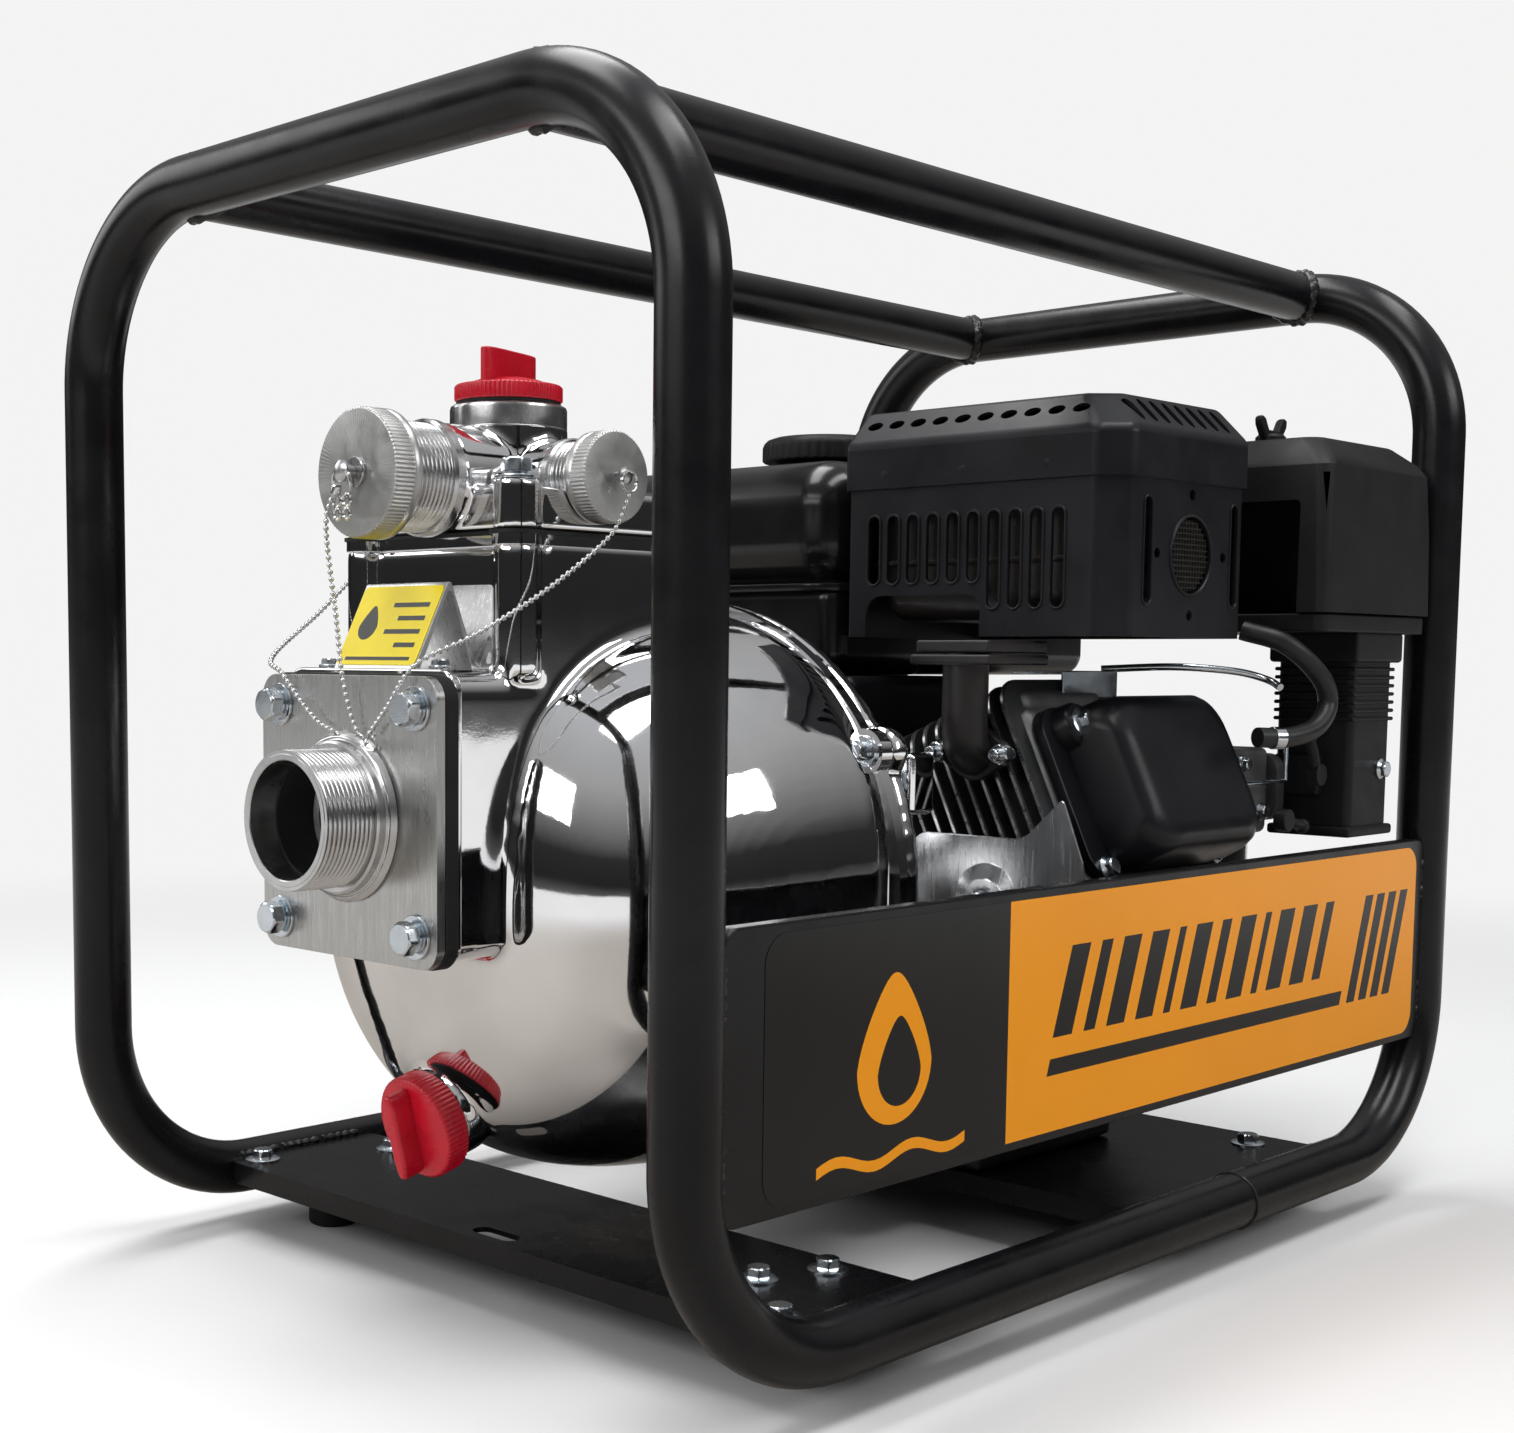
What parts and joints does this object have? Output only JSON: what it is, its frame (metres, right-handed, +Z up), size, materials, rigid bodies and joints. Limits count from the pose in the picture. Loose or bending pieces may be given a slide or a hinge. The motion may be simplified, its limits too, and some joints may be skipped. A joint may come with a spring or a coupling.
{
  "type": "portable fire pump",
  "caption": "Portable fire pump: petrol engine and polished self-priming pump in a black tube carry frame with an orange side panel.",
  "frame": {"origin": "centre of the machine's box on the floor, at the level of the rubber feet's undersides", "axes": "+X along the machine from the pump end to the engine end, +Y away from the sign panel, +Z up"},
  "size_m": [0.654, 0.4278, 0.5238],
  "materials": {
    "frame_black": "satin black powder coat",
    "panel_print": "glossy printed sheet, black and orange",
    "sign_yellow": "glossy yellow print on bent sheet",
    "polished_alloy": "mirror polished casting",
    "machined_alloy": "brushed and turned",
    "zinc_steel": "zinc plated",
    "plain_steel": "machined",
    "cast_alloy": "as cast, matt",
    "dark_cast": "black painted casting, matt",
    "engine_black": "semi-gloss black paint",
    "black_rubber": "matt",
    "black_plastic": "fine textured",
    "red_plastic": "semi-gloss red",
    "impeller_brass": "as machined",
    "fan_iron": "machined"
  },
  "bodies": {
    "root": {"air_cleaner_base": "black_plastic", "base_plate_front": "frame_black", "base_plate_rear": "frame_black", "breather_hose": "black_rubber", "cap_chain_far": "plain_steel", "cap_chain_large": "plain_steel", "cap_chain_near": "plain_steel", "carburettor": "cast_alloy", "crankcase": "cast_alloy", "cylinder": "dark_cast", "cylinder_shroud": "machined_alloy", "discharge_manifold": "polished_alloy", "exhaust_pipe": "dark_cast", "foot_front_far": "black_rubber", "foot_front_near": "black_rubber", "foot_rear_far": "black_rubber", "foot_rear_near": "black_rubber", "frame_hoop_front": "frame_black", "frame_hoop_rear": "frame_black", "fuel_tank": "engine_black", "manifold_gasket": "black_rubber", "muffler": "dark_cast", "muffler_guard": "engine_black", "pump_adapter": "polished_alloy", "pump_casing": "polished_alloy", "recoil_cover": "engine_black", "shaft_seal": "plain_steel", "side_panel": "panel_print", "sign_bracket": "sign_yellow", "spark_plug": "black_rubber", "starter_rope": "black_rubber", "suction_bolt_far_high": "zinc_steel", "suction_bolt_far_low": "zinc_steel", "suction_bolt_near_high": "zinc_steel", "suction_bolt_near_low": "zinc_steel", "suction_flange": "machined_alloy", "suction_gasket": "black_rubber", "top_rail_far": "frame_black", "top_rail_near": "frame_black", "valve_cover": "engine_black", "volute": "cast_alloy"},
    "rotor": {"crankshaft": "plain_steel", "impeller": "impeller_brass", "flywheel": "fan_iron"},
    "starter_grip": {"recoil_handle": "black_plastic"},
    "rope_reel": {"recoil_pulley": "black_plastic"},
    "cap_large": {"outlet_cap_large": "machined_alloy"},
    "cap_near": {"outlet_cap_near": "machined_alloy"},
    "cap_far": {"outlet_cap_far": "machined_alloy"},
    "prime_cap": {"prime_plug": "red_plastic"},
    "drain_cap": {"drain_plug": "red_plastic"},
    "flap": {"check_flap": "black_rubber"},
    "tank_cap": {"fuel_cap": "black_plastic"},
    "dipstick": {"oil_dipstick": "black_plastic"},
    "throttle": {"throttle_lever": "zinc_steel"},
    "choke": {"choke_lever": "black_plastic"},
    "fuel_valve": {"fuel_valve_lever": "black_plastic"},
    "switch": {"engine_switch": "red_plastic"},
    "cleaner_cover": {"air_cleaner_cover": "black_plastic"},
    "cleaner_nut": {"air_cleaner_nut": "black_plastic"}
  },
  "joints": [
    {"name": "crank_spin", "type": "hinge", "parent": "root", "child": "rotor", "pos_m": [0.009, 0, 0.148], "axis": [1, 0, 0], "continuous": true},
    {"name": "starter_pull", "type": "slide", "parent": "root", "child": "starter_grip", "axis": [0, 1, 0], "range_m": [0, 0.45], "stiffness_N_per_m": 15, "deforming": ["starter_rope"]},
    {"name": "starter_reel", "type": "hinge", "parent": "root", "child": "rope_reel", "pos_m": [0.009, 0, 0.148], "axis": [1, 0, 0], "range_deg": [-562, 0]},
    {"name": "cap_large_pull", "type": "slide", "parent": "root", "child": "cap_large", "axis": [-1, 0, 0], "range_m": [0, 0.03], "deforming": ["cap_chain_large"]},
    {"name": "cap_near_pull", "type": "slide", "parent": "root", "child": "cap_near", "axis": [0, -1, 0], "range_m": [0, 0.03], "deforming": ["cap_chain_near"]},
    {"name": "cap_far_pull", "type": "slide", "parent": "root", "child": "cap_far", "axis": [0, 1, 0], "range_m": [0, 0.03], "deforming": ["cap_chain_far"]},
    {"name": "prime_plug_lift", "type": "slide", "parent": "root", "child": "prime_cap", "axis": [0, 0, 1], "range_m": [0, 0.03]},
    {"name": "drain_plug_pull", "type": "slide", "parent": "root", "child": "drain_cap", "axis": [-0.9703, 0, -0.2419], "range_m": [0, 0.03]},
    {"name": "check_flap_swing", "type": "hinge", "parent": "root", "child": "flap", "pos_m": [-0.2813, 0, 0.261], "axis": [0, -1, 0], "range_deg": [0, 50]},
    {"name": "fuel_cap_lift", "type": "slide", "parent": "root", "child": "tank_cap", "axis": [0, 0, 1], "range_m": [0, 0.03]},
    {"name": "dipstick_pull", "type": "slide", "parent": "root", "child": "dipstick", "axis": [0, -0.9063, 0.4226], "range_m": [0, 0.05]},
    {"name": "throttle_swing", "type": "hinge", "parent": "root", "child": "throttle", "pos_m": [0.147, -0.06, 0.264], "axis": [0, 0, 1], "range_deg": [0, 30]},
    {"name": "choke_swing", "type": "hinge", "parent": "root", "child": "choke", "pos_m": [0.193, -0.191, 0.24], "axis": [0, -1, 0], "range_deg": [0, 40]},
    {"name": "fuel_valve_turn", "type": "hinge", "parent": "root", "child": "fuel_valve", "pos_m": [0.155, -0.193, 0.218], "axis": [0, -1, 0], "range_deg": [0, 60]},
    {"name": "engine_switch_turn", "type": "hinge", "parent": "root", "child": "switch", "pos_m": [0.197, -0.088, 0.233], "axis": [0, -1, 0], "range_deg": [0, 60]},
    {"name": "air_cleaner_lift", "type": "slide", "parent": "root", "child": "cleaner_cover", "axis": [0, 0, 1], "range_m": [0, 0.07]},
    {"name": "wing_nut_spin", "type": "hinge", "parent": "cleaner_cover", "child": "cleaner_nut", "pos_m": [0.219, -0.148, 0.415], "axis": [0, 0, 1], "continuous": true}
  ],
  "couplings": [
    {"joint": "starter_reel", "follows": "starter_pull", "rad_per_m": -21.739}
  ]
}
